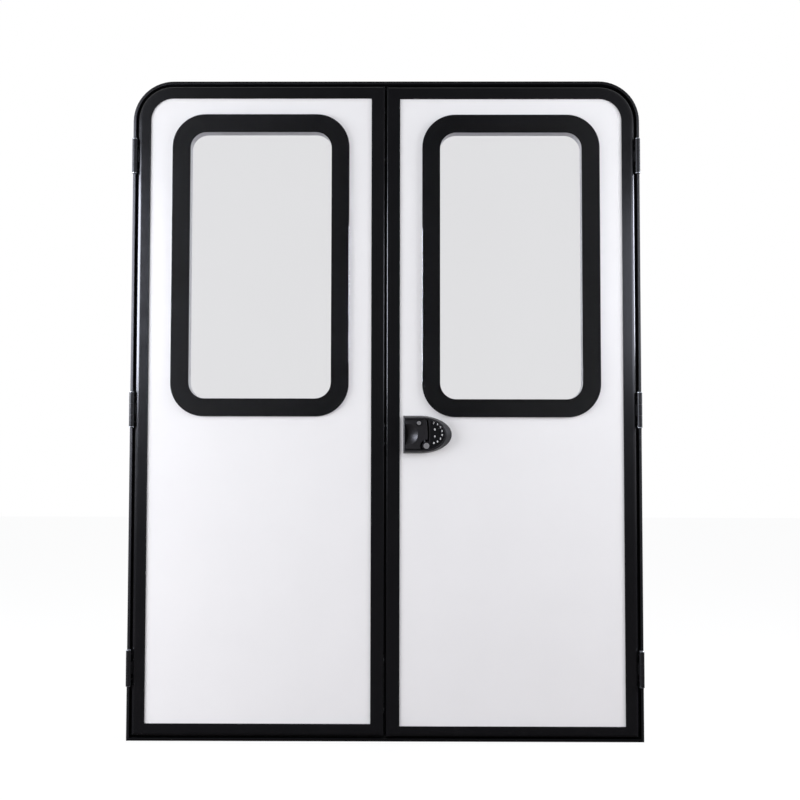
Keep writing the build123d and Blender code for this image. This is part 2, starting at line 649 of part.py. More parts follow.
def make_thumb_turn(lock):
    front = PANEL_BACK + INSIDE_PLATE_T
    x, z = lock_middle_x(lock), lock.z - THUMB_BELOW_CENTRE
    turn = across(x, z, front, front + THUMB_BASE_T, THUMB_BASE_R)
    fin = Pos(x, z) * SlotOverall(THUMB_FIN_LENGTH, THUMB_FIN_WIDTH)
    return turn + slab(fin, front + THUMB_BASE_T, front + THUMB_BASE_T + THUMB_FIN_RISE)


# Plates let into the meeting edges


def edge_plate(z, width, length, play):
    """A plate with rounded ends, let flush into the meeting edge."""
    outline = RectangleRounded(width + 2 * play, length + 2 * play, EDGE_PLATE_CORNER + play)
    plane = Plane(origin=(LEAF_X0, LATCH_Y, z), x_dir=(0, 1, 0), z_dir=(1, 0, 0))
    return extrude(plane * outline, amount=EDGE_PLATE_T)


def bolt_way(z, play, x0, x1):
    """The room of the latch bolt through the meeting edge."""
    half_width, half_height = LATCH_WIDTH / 2 + play, LATCH_HEIGHT / 2 + play
    return block(x0, x1, LATCH_Y - half_width, LATCH_Y + half_width, z - half_height, z + half_height)


def flush_bolt_heights(leaf):
    return leaf.z0 + FLUSH_BOLT_FROM_END, leaf.z1 - FLUSH_BOLT_FROM_END


def make_flush_bolts(leaf):
    """Two edge plates with a dished lever each, for the bolts that hold the passive leaf."""
    bolts = []
    for z in flush_bolt_heights(leaf):
        half_width, half_length = FLUSH_BOLT_DISH_WIDTH / 2, FLUSH_BOLT_DISH_LENGTH / 2
        dish = block(
            LEAF_X0 - CUT_PAST,
            LEAF_X0 + FLUSH_BOLT_DISH_DEPTH,
            LATCH_Y - half_width,
            LATCH_Y + half_width,
            z - half_length,
            z + half_length,
        )
        bolts.append(edge_plate(z, FLUSH_BOLT_WIDTH, FLUSH_BOLT_LENGTH, 0) - dish)
    return Compound(children=bolts)


def make_leaf_nodes(leaf):
    """The pieces that both leaves have, as a right leaf."""
    outer, meeting, bottom = make_trims(leaf)
    return {
        "leaf_panel": make_panel(leaf),
        "leaf_outer_trim": outer,
        "leaf_meeting_trim": meeting,
        "leaf_bottom_trim": bottom,
        "window_glass": make_glass(leaf),
        "window_border": make_border(leaf),
        "window_inner_frame": make_inner_frame(leaf),
    }


def make_lock_nodes(leaf, nodes):
    """The lock on the active leaf, with its room cut in that leaf."""
    lock = Lock(leaf)
    body_z0 = lock.z - BODY_HEIGHT / 2 - BODY_IN_PANEL
    body_z1 = lock.z + BODY_HEIGHT / 2 + BODY_IN_PANEL
    cut_x0, cut_x1 = lock.body_x0 - BODY_IN_PANEL, lock.body_x1 + BODY_IN_PANEL
    front, back = PANEL_FRONT - CUT_PAST, PANEL_BACK + CUT_PAST
    nodes["leaf_panel"] -= block(cut_x0, cut_x1, front, back, body_z0, body_z1)
    way = bolt_way(lock.z, LATCH_PLAY, LEAF_X0 - CUT_PAST, cut_x0 + CUT_PAST)
    nodes["leaf_panel"] -= way
    plate_room = edge_plate(lock.z, EDGE_PLATE_WIDTH, EDGE_PLATE_LENGTH, LET_IN_PLAY)
    nodes["leaf_meeting_trim"] -= way + plate_room
    paddle_back = LOCK_FACE + PADDLE_T
    return {
        "lock_housing": make_housing(lock),
        "lock_paddle": make_paddle(lock),
        "lock_paddle_pin": make_paddle_pin(lock),
        "lock_keypad": make_keypad(lock),
        "lock_keys": make_keys(lock),
        "paddle_key_cylinder": make_key_cylinder(*lock.paddle_key, PADDLE_CYLINDER_R, paddle_back),
        "bolt_key_cylinder": make_key_cylinder(*lock.bolt_key, BOLT_CYLINDER_R, BAY_FLOOR),
        "lock_inside_plate": make_inside_plate(lock),
        "lock_inside_handle": make_inside_handle(lock),
        "lock_thumb_turn": make_thumb_turn(lock),
        "latch_plate": edge_plate(lock.z, EDGE_PLATE_WIDTH, EDGE_PLATE_LENGTH, 0) - way,
        "latch_bolt": bolt_way(lock.z, 0, LEAF_X0, lock.body_x0),
    }


def make_passive_nodes(leaf, nodes, latch_z):
    """The strike for the latch and the flush bolts, on the passive leaf."""
    pocket = bolt_way(latch_z, STRIKE_PLAY, LEAF_X0 - CUT_PAST, LEAF_X0 + STRIKE_POCKET)
    nodes["leaf_panel"] -= pocket
    plate_room = edge_plate(latch_z, EDGE_PLATE_WIDTH, EDGE_PLATE_LENGTH, LET_IN_PLAY)
    nodes["leaf_meeting_trim"] -= pocket + plate_room
    for z in flush_bolt_heights(leaf):
        nodes["leaf_meeting_trim"] -= edge_plate(z, FLUSH_BOLT_WIDTH, FLUSH_BOLT_LENGTH, LET_IN_PLAY)
    return {
        "strike_plate": edge_plate(latch_z, EDGE_PLATE_WIDTH, EDGE_PLATE_LENGTH, 0) - pocket,
        "flush_bolts": make_flush_bolts(leaf),
    }


def make_hinge_nodes():
    """The three hinges of one side, as on the right."""
    nodes = {}
    for place, z in HINGE_HEIGHTS.items():
        nodes[f"hinge_{place}_frame_half"] = make_frame_half(z)
        nodes[f"hinge_{place}_leaf_half"] = make_leaf_half(z)
    nodes["hinge_pins"] = Compound(children=[make_hinge_pin(z) for z in HINGE_HEIGHTS.values()])
    return nodes


def build_door():
    """Every node of the door, by name."""
    door = {**make_frame(), "frame_seal": make_frame_seal()}
    active, passive = Leaf("right"), Leaf("left")
    right = make_leaf_nodes(active)
    left = make_leaf_nodes(passive)
    lock = make_lock_nodes(active, right)
    hardware = make_passive_nodes(passive, left, active.lock_z)
    hinges = make_hinge_nodes()
    for name, piece in {**right, **hinges}.items():
        door[f"right_{name}"] = piece
    for name, piece in {**left, **hinges}.items():
        door[f"left_{name}"] = mirror(piece, about=Plane.YZ)
    for name, piece in hardware.items():
        door[name] = mirror(piece, about=Plane.YZ)
    return {**door, **lock}


os.makedirs("parts", exist_ok=True)
for node, piece in build_door().items():
    export_step(piece, f"parts/{node}.step")
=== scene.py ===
"""The looks of a double-leaf caravan entry door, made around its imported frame. Units are metres."""

import math
from collections import namedtuple
from contextlib import contextmanager

import bmesh
import bpy
from mathutils import Matrix, Vector


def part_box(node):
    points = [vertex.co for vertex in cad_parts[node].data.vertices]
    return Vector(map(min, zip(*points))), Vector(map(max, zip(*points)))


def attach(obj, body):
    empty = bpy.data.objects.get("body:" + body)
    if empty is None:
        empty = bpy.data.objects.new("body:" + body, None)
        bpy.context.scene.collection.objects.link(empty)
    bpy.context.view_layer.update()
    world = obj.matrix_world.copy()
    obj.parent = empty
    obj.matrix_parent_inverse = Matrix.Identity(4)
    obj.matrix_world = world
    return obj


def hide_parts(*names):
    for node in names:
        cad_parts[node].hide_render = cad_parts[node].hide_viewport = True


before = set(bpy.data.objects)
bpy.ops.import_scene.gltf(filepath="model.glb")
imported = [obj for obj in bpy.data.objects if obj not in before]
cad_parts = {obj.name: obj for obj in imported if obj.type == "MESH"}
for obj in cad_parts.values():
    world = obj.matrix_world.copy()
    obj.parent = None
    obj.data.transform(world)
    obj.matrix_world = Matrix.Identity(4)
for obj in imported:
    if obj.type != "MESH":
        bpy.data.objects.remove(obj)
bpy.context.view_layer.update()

MM = 0.001
MERGE_DISTANCE = 0.01 * MM
SQUARE_ON = 0.99
SMOOTH_BELOW = math.radians(35)
SIDES = ("left", "right")
OUTWARDS = {"left": -1, "right": 1}
HINGE_PLACES = ("top", "middle", "bottom")
PADDLE_PLUG_R = 5.2 * MM
BOLT_PLUG_R = 7.5 * MM


# Helpers for materials


def linear(hex_colour):
    """An sRGB hex colour as linear red, green, blue and alpha."""
    channels = [int(hex_colour[i : i + 2], 16) / 255 for i in (1, 3, 5)]
    return [c / 12.92 if c <= 0.04045 else ((c + 0.055) / 1.055) ** 2.4 for c in channels] + [1.0]


def add_node(tree, kind, sockets, output=0, **settings):
    """Adds a node with its settings; each socket gets a value or a link. Gives the output asked for."""
    made = tree.nodes.new(kind)
    for name, value in settings.items():
        setattr(made, name, value)
    for name, value in sockets.items():
        if isinstance(value, bpy.types.NodeSocket):
            tree.links.new(value, made.inputs[name])
        else:
            made.inputs[name].default_value = value
    return made.outputs[output] if made.outputs else None


# What varies over a surface: from one value to another, in cloudy patches of about that width
Pattern = namedtuple("Pattern", "low high width_mm detail", defaults=(2,))


def cloudy_finish(name, colour, roughness, relief=None, stretch=None, **constants):
    """A material from its patterns: hex colours, roughness, and relief in millimetres of height.

    The stretch draws the patterns out along an axis, and the constants are the shader's own numbers.
    """
    material = bpy.data.materials.new(name)
    material.use_nodes = True
    tree = material.node_tree
    shader = tree.nodes["Principled BSDF"]
    for socket, value in constants.items():
        label = socket.replace("_", " ").title().replace("Ior", "IOR")
        shader.inputs[label].default_value = value
    place = add_node(tree, "ShaderNodeTexCoord", {}, output="Object")
    if stretch:
        place = add_node(tree, "ShaderNodeMapping", {"Vector": place, "Scale": stretch})
    clouds = {}
    for pattern in filter(None, (colour, roughness, relief)):
        per_metre = 1 / (pattern.width_mm * MM)
        sockets = {"Vector": place, "Scale": per_metre, "Detail": pattern.detail}
        clouds[pattern] = add_node(tree, "ShaderNodeTexNoise", sockets, output="Fac")
    sockets = {0: clouds[colour], 6: linear(colour.low), 7: linear(colour.high)}
    tint = add_node(tree, "ShaderNodeMix", sockets, output=2, data_type="RGBA")
    tree.links.new(tint, shader.inputs["Base Color"])
    sockets = {"Value": clouds[roughness], "To Min": roughness.low, "To Max": roughness.high}
    gloss = add_node(tree, "ShaderNodeMapRange", sockets)
    tree.links.new(gloss, shader.inputs["Roughness"])
    if relief:
        sockets = {"Height": clouds[relief], "Distance": (relief.high - relief.low) * MM}
        bump = add_node(tree, "ShaderNodeBump", sockets)
        tree.links.new(bump, shader.inputs["Normal"])
    return material


# Materials


def gelcoat_sheet():
    """Gel-coated glass-fibre sheet: an even white, half gloss, with a faint long ripple of the press."""
    return cloudy_finish(
        "white_gelcoat_sheet",
        colour=Pattern("#EDEDED", "#F1F1F1", 160),
        roughness=Pattern(0.28, 0.34, 45),
        relief=Pattern(0, 0.03, 26),
        ior=1.5,
    )


def powder_coat():
    """Black polyester powder coat on extruded aluminium: half gloss, with a fine orange peel."""
    return cloudy_finish(
        "black_powder_coat",
        colour=Pattern("#0E0E10", "#131315", 60),
        roughness=Pattern(0.18, 0.25, 22, 4),
        relief=Pattern(0, 0.02, 2.4),
        ior=1.5,
    )


def frame_coat():
    """Black powder coat with a matt texture, on the fixed frame: duller than the trim beside it."""
    return cloudy_finish(
        "black_matt_powder_coat",
        colour=Pattern("#0E0E10", "#131315", 60),
        roughness=Pattern(0.42, 0.5, 18, 4),
        relief=Pattern(0, 0.02, 1.6),
        ior=1.5,
        specular_ior_level=0.25,
    )


def safety_glass():
    """Tempered float glass, grey-tinted: flat, clear, a little darker than the air around it."""
    return cloudy_finish(
        "grey_tempered_glass",
        colour=Pattern("#E7E7E9", "#E9E9EB", 300),
        roughness=Pattern(0.0, 0.012, 90),
        ior=1.5,
        transmission_weight=1.0,
    )


def ceramic_print():
    """Ceramic ink fired on the back of the pane: a dense black with hardly any sheen of its own."""
    return cloudy_finish(
        "black_ceramic_print",
        colour=Pattern("#070708", "#0A0A0C", 8),
        roughness=Pattern(0.6, 0.75, 3),
        ior=1.45,
    )


def pale_abs():
    """Light grey moulded ABS: matt, with the fine grain of a textured mould."""
    return cloudy_finish(
        "pale_grey_abs",
        colour=Pattern("#E2E3E4", "#E8E9EA", 50),
        roughness=Pattern(0.45, 0.58, 15),
        relief=Pattern(0, 0.03, 1.2),
        ior=1.53,
    )


def epdm_rubber():
    """Extruded EPDM rubber: deep black, dull, slightly bloomed grey in patches."""
    return cloudy_finish(
        "black_epdm_rubber",
        colour=Pattern("#131314", "#1D1D1E", 18, 4),
        roughness=Pattern(0.62, 0.8, 9),
        relief=Pattern(0, 0.04, 0.9),
        ior=1.5,
    )


def hinge_paint():
    """Black e-coat on cast zinc: thin, satin, and a little uneven over the casting."""
    return cloudy_finish(
        "black_e_coat",
        colour=Pattern("#151517", "#1E1E20", 12, 4),
        roughness=Pattern(0.32, 0.48, 6),
        relief=Pattern(0, 0.03, 1.5),
        ior=1.5,
        specular_ior_level=0.25,
    )


def plated_steel():
    """Zinc-plated steel: bright grey metal with a soft, cloudy sheen."""
    return cloudy_finish(
        "zinc_plated_steel",
        colour=Pattern("#8E9092", "#B4B6B8", 4, 4),
        roughness=Pattern(0.28, 0.44, 3),
        metallic=1.0,
    )


def nickel_plate(node, plug_r):
    """A key cylinder: a plug of nickel-plated brass with a soft polish, in a collar of black plate."""
    material = cloudy_finish(
        f"nickel_plated_brass_{node}",
        colour=Pattern("#BDBAB6", "#D4D1CD", 3, 4),
        roughness=Pattern(0.36, 0.5, 1.5),
        metallic=1.0,
    )
    low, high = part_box(node)
    middle = (low + high) / 2
    tree = material.node_tree
    base_colour = tree.nodes["Principled BSDF"].inputs["Base Color"]
    plug = base_colour.links[0].from_socket
    place = add_node(tree, "ShaderNodeTexCoord", {}, output="Object")
    sockets = {0: place, 1: (1, 0, 1)}
    flat = add_node(tree, "ShaderNodeVectorMath", sockets, operation="MULTIPLY")
    sockets = {0: flat, 1: (middle.x, 0, middle.z)}
    from_axis = add_node(tree, "ShaderNodeVectorMath", sockets, output="Value", operation="DISTANCE")
    collar = add_node(tree, "ShaderNodeMath", {0: from_axis, 1: plug_r}, operation="GREATER_THAN")
    sockets = {0: collar, 6: plug, 7: linear("#1B1A1C")}
    ringed = add_node(tree, "ShaderNodeMix", sockets, output=2, data_type="RGBA")
    tree.links.new(ringed, base_colour)
    return material


def brushed_stainless():
    """Stainless strip, brushed along its length: grey metal with fine upright streaks."""
    streak_mm = 0.6
    return cloudy_finish(
        "brushed_stainless_strip",
        colour=Pattern("#85878A", "#B0B2B4", streak_mm, 4),
        roughness=Pattern(0.26, 0.42, streak_mm, 4),
        relief=Pattern(0, 0.01, streak_mm, 4),
        stretch=(1, 1, 0.02),
        metallic=1.0,
    )


def moulded_lock_body():
    """Black glass-filled nylon from a spark-eroded mould: a soft sheen broken by fine grain."""
    return cloudy_finish(
        "black_moulded_nylon",
        colour=Pattern("#1F1E20", "#262527", 10, 4),
        roughness=Pattern(0.32, 0.44, 5),
        relief=Pattern(0, 0.03, 0.7, 3),
        ior=1.52,
        specular_ior_level=0.24,
    )


def keypad_lens():
    """Glossy black polycarbonate: smooth and dark, with fine handling marks in its gloss."""
    return cloudy_finish(
        "black_polycarbonate_lens",
        colour=Pattern("#0E0E10", "#131316", 14),
        roughness=Pattern(0.16, 0.3, 4, 5),
        ior=1.58,
    )


def key_rubber():
    """Dark grey silicone keys: matt and soft-edged."""
    return cloudy_finish(
        "dark_silicone_keys",
        colour=Pattern("#1C1C1F", "#242428", 3),
        roughness=Pattern(0.5, 0.62, 2),
        ior=1.41,
    )


def white_print():
    """White pad print: an even, opaque ink with soft edges."""
    return cloudy_finish(
        "white_pad_print",
        colour=Pattern("#E8E8E8", "#F4F4F4", 1.5),
        roughness=Pattern(0.45, 0.55, 2),
        ior=1.5,
    )


# Helpers for modelling


def alone(piece):
    """Makes one object the whole selection."""
    bpy.ops.object.select_all(action="DESELECT")
    piece.select_set(True)
    bpy.context.view_layer.objects.active = piece


def start_piece(name, add_primitive, **sizes):
    """Adds a primitive at its size and place, alone in the selection."""
    bpy.ops.object.select_all(action="DESELECT")
    add_primitive(**sizes)
    piece = bpy.context.object
    piece.name = name
    piece.data.name = name
    bpy.ops.object.transform_apply(location=True, rotation=True, scale=True)
    return piece


@contextmanager
def edit_mode(piece):
    """Edit mode on the faces of one piece, with nothing selected."""
    alone(piece)
    bpy.ops.object.mode_set(mode="EDIT")
    bpy.ops.mesh.select_mode(type="FACE")
    bpy.ops.mesh.select_all(action="DESELECT")
    yield
    bpy.ops.object.mode_set(mode="OBJECT")


def select_faces(piece, direction):
    """Selects the faces that look square along a direction."""
    mesh = bmesh.from_edit_mesh(piece.data)
    for face in mesh.faces:
        face.select_set(face.normal.dot(direction) > SQUARE_ON)
    bmesh.update_edit_mesh(piece.data)


def apply_modifier(piece, kind, **settings):
    """Adds a modifier and applies it."""
    alone(piece)
    modifier = piece.modifiers.new(kind.title(), kind)
    for name, value in settings.items():
        setattr(modifier, name, value)
    bpy.ops.object.modifier_apply(modifier=modifier.name)


def copy_to(piece, name, place):
    """A copy with a mesh of its own, moved by a matrix."""
    twin = bpy.data.objects.new(name, piece.data.copy())
    twin.data.name = name
    twin.data.transform(place)
    bpy.context.scene.collection.objects.link(twin)
    return twin


def join(name, pieces):
    """Several pieces as one object."""
    alone(pieces[0])
    for piece in pieces:
        piece.select_set(True)
    bpy.ops.object.join()
    pieces[0].name = name
    pieces[0].data.name = name
    return pieces[0]


def finish_piece(piece, material, body):
    """Gives a finished piece its shading, finish and body."""
    alone(piece)
    bpy.ops.object.shade_smooth_by_angle(angle=SMOOTH_BELOW)
    piece.data.materials.clear()
    piece.data.materials.append(material)
    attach(piece, body)


# Pieces


def printed_band(side, material):
    """The pane's black band, a hair clear of the glass before it and the skin behind it."""
    node = f"{side}_window_border"
    thickness_kept = 0.9
    low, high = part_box(node)
    band = copy_to(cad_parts[node], f"{side}_printed_band", Matrix.Identity(4))
    with edit_mode(band):
        bpy.ops.mesh.select_all(action="SELECT")
        bpy.ops.mesh.remove_doubles(threshold=MERGE_DISTANCE)
        thinner = (1, thickness_kept, 1)
        bpy.ops.transform.resize(value=thinner, center_override=(low + high) / 2)
        bpy.ops.mesh.customdata_custom_splitnormals_clear()
    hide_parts(node)
    finish_piece(band, material, f"{side}_leaf")


def meeting_seal(material):
    """A bulb seal along the passive leaf's edge, behind the latch, that closes the gap to the light."""
    bulb_r = 2.6 * MM
    bulb_facets = 24
    bulb_stand_off = 0.6 * bulb_r
    foot_t = 2.0 * MM
    foot_widening = 1.4
    from_back = 4.0 * MM
    end_room = 5.0 * MM
    low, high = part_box("left_leaf_meeting_trim")
    edge_x, y = high.x, high.y - from_back
    z0, z1 = low.z + end_room, high.z - end_room
    seal = start_piece(
        "meeting_seal",
        bpy.ops.mesh.primitive_cylinder_add,
        vertices=bulb_facets,
        radius=bulb_r,
        depth=z1 - z0,
        location=(edge_x + foot_t + bulb_stand_off, y, (z0 + z1) / 2),
    )
    with edit_mode(seal):
        bpy.ops.mesh.select_all(action="SELECT")
        cut = {"plane_co": (edge_x + foot_t, y, 0), "plane_no": (1, 0, 0)}
        bpy.ops.mesh.bisect(**cut, clear_inner=True, use_fill=True)
        select_faces(seal, Vector((-1, 0, 0)))
        bpy.ops.mesh.extrude_region_move(TRANSFORM_OT_translate={"value": (-foot_t, 0, 0)})
        middle = (edge_x, y, (z0 + z1) / 2)
        bpy.ops.transform.resize(value=(1, foot_widening, 1), center_override=middle)
        bpy.ops.mesh.select_all(action="SELECT")
        bpy.ops.mesh.normals_make_consistent(inside=False)
    finish_piece(seal, material, "left_leaf")


def model_screw(name, head_d, head_t, recess):
    """A screw head with a cross recess, standing on the origin along +Z."""
    head_facets = 20
    rounding = 0.42 * head_t
    rounding_steps = 3
    tip_size = (0.58 * head_d, 0.16 * head_d, 2 * recess)
    top = (0, 0, head_t)
    screw = start_piece(
        name,
        bpy.ops.mesh.primitive_cylinder_add,
        vertices=head_facets,
        radius=head_d / 2,
        depth=head_t,
        location=(0, 0, head_t / 2),
    )
    with edit_mode(screw):
        select_faces(screw, Vector((0, 0, 1)))
        bpy.ops.mesh.bevel(offset=rounding, segments=rounding_steps, affect="EDGES")
    tip = start_piece("driver_tip", bpy.ops.mesh.primitive_cube_add, size=1, location=top)
    with edit_mode(tip):
        bpy.ops.mesh.select_all(action="SELECT")
        bpy.ops.transform.resize(value=tip_size, center_override=top)
    for _ in range(2):
        apply_modifier(screw, "BOOLEAN", object=tip, operation="DIFFERENCE", solver="EXACT")
        with edit_mode(tip):
            bpy.ops.mesh.select_all(action="SELECT")
            bpy.ops.transform.rotate(value=math.pi / 2, orient_axis="Z", center_override=top)
    bpy.data.objects.remove(tip)
    return screw


def standing(point, direction):
    """The matrix that stands a piece on a point, with its +Z along a direction."""
    turn = Vector(direction).to_track_quat("Z", "Y").to_matrix().to_4x4()
    return Matrix.Translation(point) @ turn


def spread(low, high, count, margin):
    """Evenly spaced places between two ends, a margin inside them."""
    step = (high - low - 2 * margin) / (count - 1)
    return [low + margin + i * step for i in range(count)]


def put_screws(name, screw, seats, material, body):
    """Copies of a screw on their seats, joined as one piece."""
    copies = [copy_to(screw, name, standing(point, direction)) for point, direction in seats]
    finish_piece(join(name, copies), material, body)


def hinge_screw_seats(side, half):
    """Three screws down each hinge plate, on the face that the open door shows."""
    per_plate = 3
    end_margin = 12 * MM
    from_back = 8 * MM
    frame_plate_inset = 9.5 * MM
    outwards = OUTWARDS[side]
    if half == "leaf_half":
        trim_low, trim_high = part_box(f"{side}_leaf_outer_trim")
        x = trim_high.x if side == "right" else trim_low.x
        direction = (outwards, 0, 0)
    else:
        frame_low, frame_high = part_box(f"frame_{side}_jamb")
        outer_x = frame_high.x if side == "right" else frame_low.x
        x = outer_x - outwards * frame_plate_inset
        direction = (-outwards, 0, 0)
    seats = []
    for place in HINGE_PLACES:
        low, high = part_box(f"{side}_hinge_{place}_{half}")
        for z in spread(low.z, high.z, per_plate, end_margin):
            seats.append(((x, high.y - from_back, z), direction))
    return seats


def window_screw_seats(side):
    """Screws round the flange of the inner window frame, on the cabin side."""
    across, up = 4, 6
    from_edge = 11 * MM
    end_across, end_up = 70 * MM, 110 * MM
    low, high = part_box(f"{side}_window_inner_frame")
    seats = []
    for x in spread(low.x, high.x, across, end_across):
        for z in (low.z + from_edge, high.z - from_edge):
            seats.append(((x, high.y, z), (0, 1, 0)))
    for z in spread(low.z, high.z, up, end_up):
        for x in (low.x + from_edge, high.x - from_edge):
            seats.append(((x, high.y, z), (0, 1, 0)))
    return seats


def plate_screw_seats(node, direction):
    """A screw near each end of an upright plate in the meeting edge."""
    end_margin = 8 * MM
    low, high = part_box(node)
    x = high.x if direction > 0 else low.x
    y = (low.y + high.y) / 2
    return [((x, y, z), (direction, 0, 0)) for z in (low.z + end_margin, high.z - end_margin)]


def flush_bolt_screw_seats():
    """Two screws in each of the flush bolts' plates."""
    plate_length = 150 * MM
    margin = 12 * MM
    low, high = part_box("flush_bolts")
    y = (low.y + high.y) / 2
    ends = (low.z, low.z + plate_length, high.z - plate_length, high.z)
    inwards = (1, -1, 1, -1)
    return [((high.x, y, z + step * margin), (1, 0, 0)) for z, step in zip(ends, inwards)]


def inside_plate_screw_seats():
    """One screw in each corner of the lock's inside plate."""
    margin = 9 * MM
    low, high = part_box("lock_inside_plate")
    return [
        ((x, high.y, z), (0, 1, 0))
        for x in (low.x + margin, high.x - margin)
        for z in (low.z + margin, high.z - margin)
    ]


def key_centres():
    """The middle of each key, from a copy of the keys that is taken apart and thrown away."""
    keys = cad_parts["lock_keys"]
    copy = copy_to(keys, "key_places", Matrix.Identity(4))
    with edit_mode(copy):
        bpy.ops.mesh.select_all(action="SELECT")
        bpy.ops.mesh.remove_doubles(threshold=MERGE_DISTANCE)
        bpy.ops.mesh.separate(type="LOOSE")
    loose = list(bpy.context.selected_objects)
    centres = []
    for piece in loose:
        corners = [Vector(corner) for corner in piece.bound_box]
        centres.append(sum(corners, Vector()) / len(corners))
    for piece in loose:
        bpy.data.objects.remove(piece)
    return centres


def key_digits(material):
    """Plain digits on the keys: first down the arc, then down the keys to its left."""
    digit_h = 4.8 * MM
    type_size = 1.45 * digit_h
    print_t = 0.08 * MM
    stroke_swell = 0.12 * MM
    curve_steps = 3
    arc_from_x = 130 * MM
    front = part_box("lock_keys")[0].y
    arc_first = sorted(key_centres(), key=lambda c: (c.x < arc_from_x, -c.z))
    prints = []
    for number, centre in enumerate(arc_first, start=1):
        bpy.ops.object.select_all(action="DESELECT")
        bpy.ops.object.text_add(rotation=(math.pi / 2, 0, 0))
        text = bpy.context.object
        text.data.body = str(number % 10)
        text.data.size = type_size
        text.data.align_x = "CENTER"
        text.data.align_y = "CENTER"
        text.data.extrude = print_t
        text.data.offset = stroke_swell
        text.data.resolution_u = curve_steps
        bpy.ops.object.convert(target="MESH")
        text = bpy.context.object
        text.location = (centre.x, front, centre.z)
        bpy.ops.object.transform_apply(location=True, rotation=True, scale=True)
        prints.append(text)
    digits = join("lock_key_digits", prints)
    finish_piece(digits, material, "right_leaf")


# Stage


def make_world():
    """White where the camera and the panes look past the door, dimmer studio walls before it."""
    fill, front_middle, front_side = 0.86, 0.02, 0.3
    backdrop_from, backdrop_to = -0.1, 0.3
    middle_to, side_from = 0.06, 0.4
    none_yet = 0.5
    world = bpy.data.worlds.new("studio")
    bpy.context.scene.world = world
    world.use_nodes = True
    tree = world.node_tree
    tree.nodes.clear()
    path = add_node(tree, "ShaderNodeLightPath", {}).node.outputs
    look = add_node(tree, "ShaderNodeTexCoord", {}, output="Generated")
    way = add_node(tree, "ShaderNodeSeparateXYZ", {"Vector": look}).node.outputs

    # Rays that come off gloss or through glass and have not met a dull surface
    sockets = {0: path["Is Glossy Ray"], 1: path["Is Transmission Ray"]}
    mirrored = add_node(tree, "ShaderNodeMath", sockets, operation="MAXIMUM")
    sockets = {0: path["Diffuse Depth"], 1: none_yet}
    not_dulled = add_node(tree, "ShaderNodeMath", sockets, operation="LESS_THAN")
    sockets = {0: mirrored, 1: not_dulled}
    sharp = add_node(tree, "ShaderNodeMath", sockets, operation="MULTIPLY")

    # Of these, the ones that end on the backdrop behind the door
    sockets = {"Value": way["Y"], "From Min": backdrop_from, "From Max": backdrop_to}
    behind = add_node(tree, "ShaderNodeMapRange", sockets)
    backdrop = add_node(tree, "ShaderNodeMath", {0: sharp, 1: behind}, operation="MULTIPLY")

    # Rays that went straight through the panes
    sockets = {0: path["Glossy Depth"], 1: none_yet}
    unmirrored = add_node(tree, "ShaderNodeMath", sockets, operation="LESS_THAN")
    sockets = {0: unmirrored, 1: not_dulled}
    straight = add_node(tree, "ShaderNodeMath", sockets, operation="MULTIPLY")
    sockets = {0: path["Is Transmission Ray"], 1: straight}
    through_panes = add_node(tree, "ShaderNodeMath", sockets, operation="MULTIPLY")

    # White for what is looked at, and the studio's own light for the rest
    sockets = {0: path["Is Camera Ray"], 1: through_panes}
    looked_past = add_node(tree, "ShaderNodeMath", sockets, operation="MAXIMUM")
    seen = add_node(tree, "ShaderNodeMath", {0: looked_past, 1: backdrop}, operation="MAXIMUM")
    aside = add_node(tree, "ShaderNodeMath", {0: way["X"]}, operation="ABSOLUTE")
    sockets = {"Value": aside, "From Min": middle_to, "From Max": side_from}
    sockets.update({"To Min": front_middle, "To Max": front_side})
    front = add_node(tree, "ShaderNodeMapRange", sockets)
    sockets = {"Value": sharp, "To Min": fill, "To Max": front}
    level = add_node(tree, "ShaderNodeMapRange", sockets)
    sockets = {"Color": linear("#F6F8FC"), "Strength": level}
    dim = add_node(tree, "ShaderNodeBackground", sockets)
    sockets = {"Color": linear("#FFFFFF"), "Strength": 1.0}
    white = add_node(tree, "ShaderNodeBackground", sockets)
    mix = add_node(tree, "ShaderNodeMixShader", {0: seen, 1: dim, 2: white})
    add_node(tree, "ShaderNodeOutputWorld", {"Surface": mix})


def make_floor():
    """A pale studio floor that looks white to the camera and still takes the door's shadow; for other
    rays its colour is painted shade, mid grey in the light it bounces and dark grey where the door's
    gloss shows it.
    """
    floor_size = 14
    shadow_share = 0.1
    bpy.ops.object.select_all(action="DESELECT")
    bpy.ops.mesh.primitive_plane_add(size=floor_size, location=(0, 0, 0))
    floor = bpy.context.object
    floor.name = "studio_floor"
    material = bpy.data.materials.new("pale_floor_painted_shade")
    material.use_nodes = True
    tree = material.node_tree
    tree.nodes.clear()
    path = add_node(tree, "ShaderNodeLightPath", {}).node.outputs
    # Painted shade: rays other than the camera's see a darker floor, mid grey for the light it bounces
    # and dark grey in the door's gloss
    sockets = {0: path["Is Glossy Ray"], 6: linear("#857B7A"), 7: linear("#3A3737")}
    painted_shade_tone = add_node(tree, "ShaderNodeMix", sockets, output=2, data_type="RGBA")
    sockets = {0: path["Is Camera Ray"], 6: painted_shade_tone, 7: linear("#EDEDED")}
    colour = add_node(tree, "ShaderNodeMix", sockets, output=2, data_type="RGBA")
    paint = add_node(tree, "ShaderNodeBsdfDiffuse", {"Color": colour})
    sockets = {"Color": linear("#FFFFFF"), "Strength": 1.0}
    white = add_node(tree, "ShaderNodeEmission", sockets)
    sockets = {0: path["Is Camera Ray"], 1: 1 - shadow_share}
    looked_at = add_node(tree, "ShaderNodeMath", sockets, operation="MULTIPLY")
    sockets = {0: looked_at, 1: path["Is Transmission Ray"]}
    seen = add_node(tree, "ShaderNodeMath", sockets, operation="MAXIMUM")
    mix = add_node(tree, "ShaderNodeMixShader", {0: seen, 1: paint, 2: white})
    add_node(tree, "ShaderNodeOutputMaterial", {"Surface": mix})
    floor.data.materials.append(material)


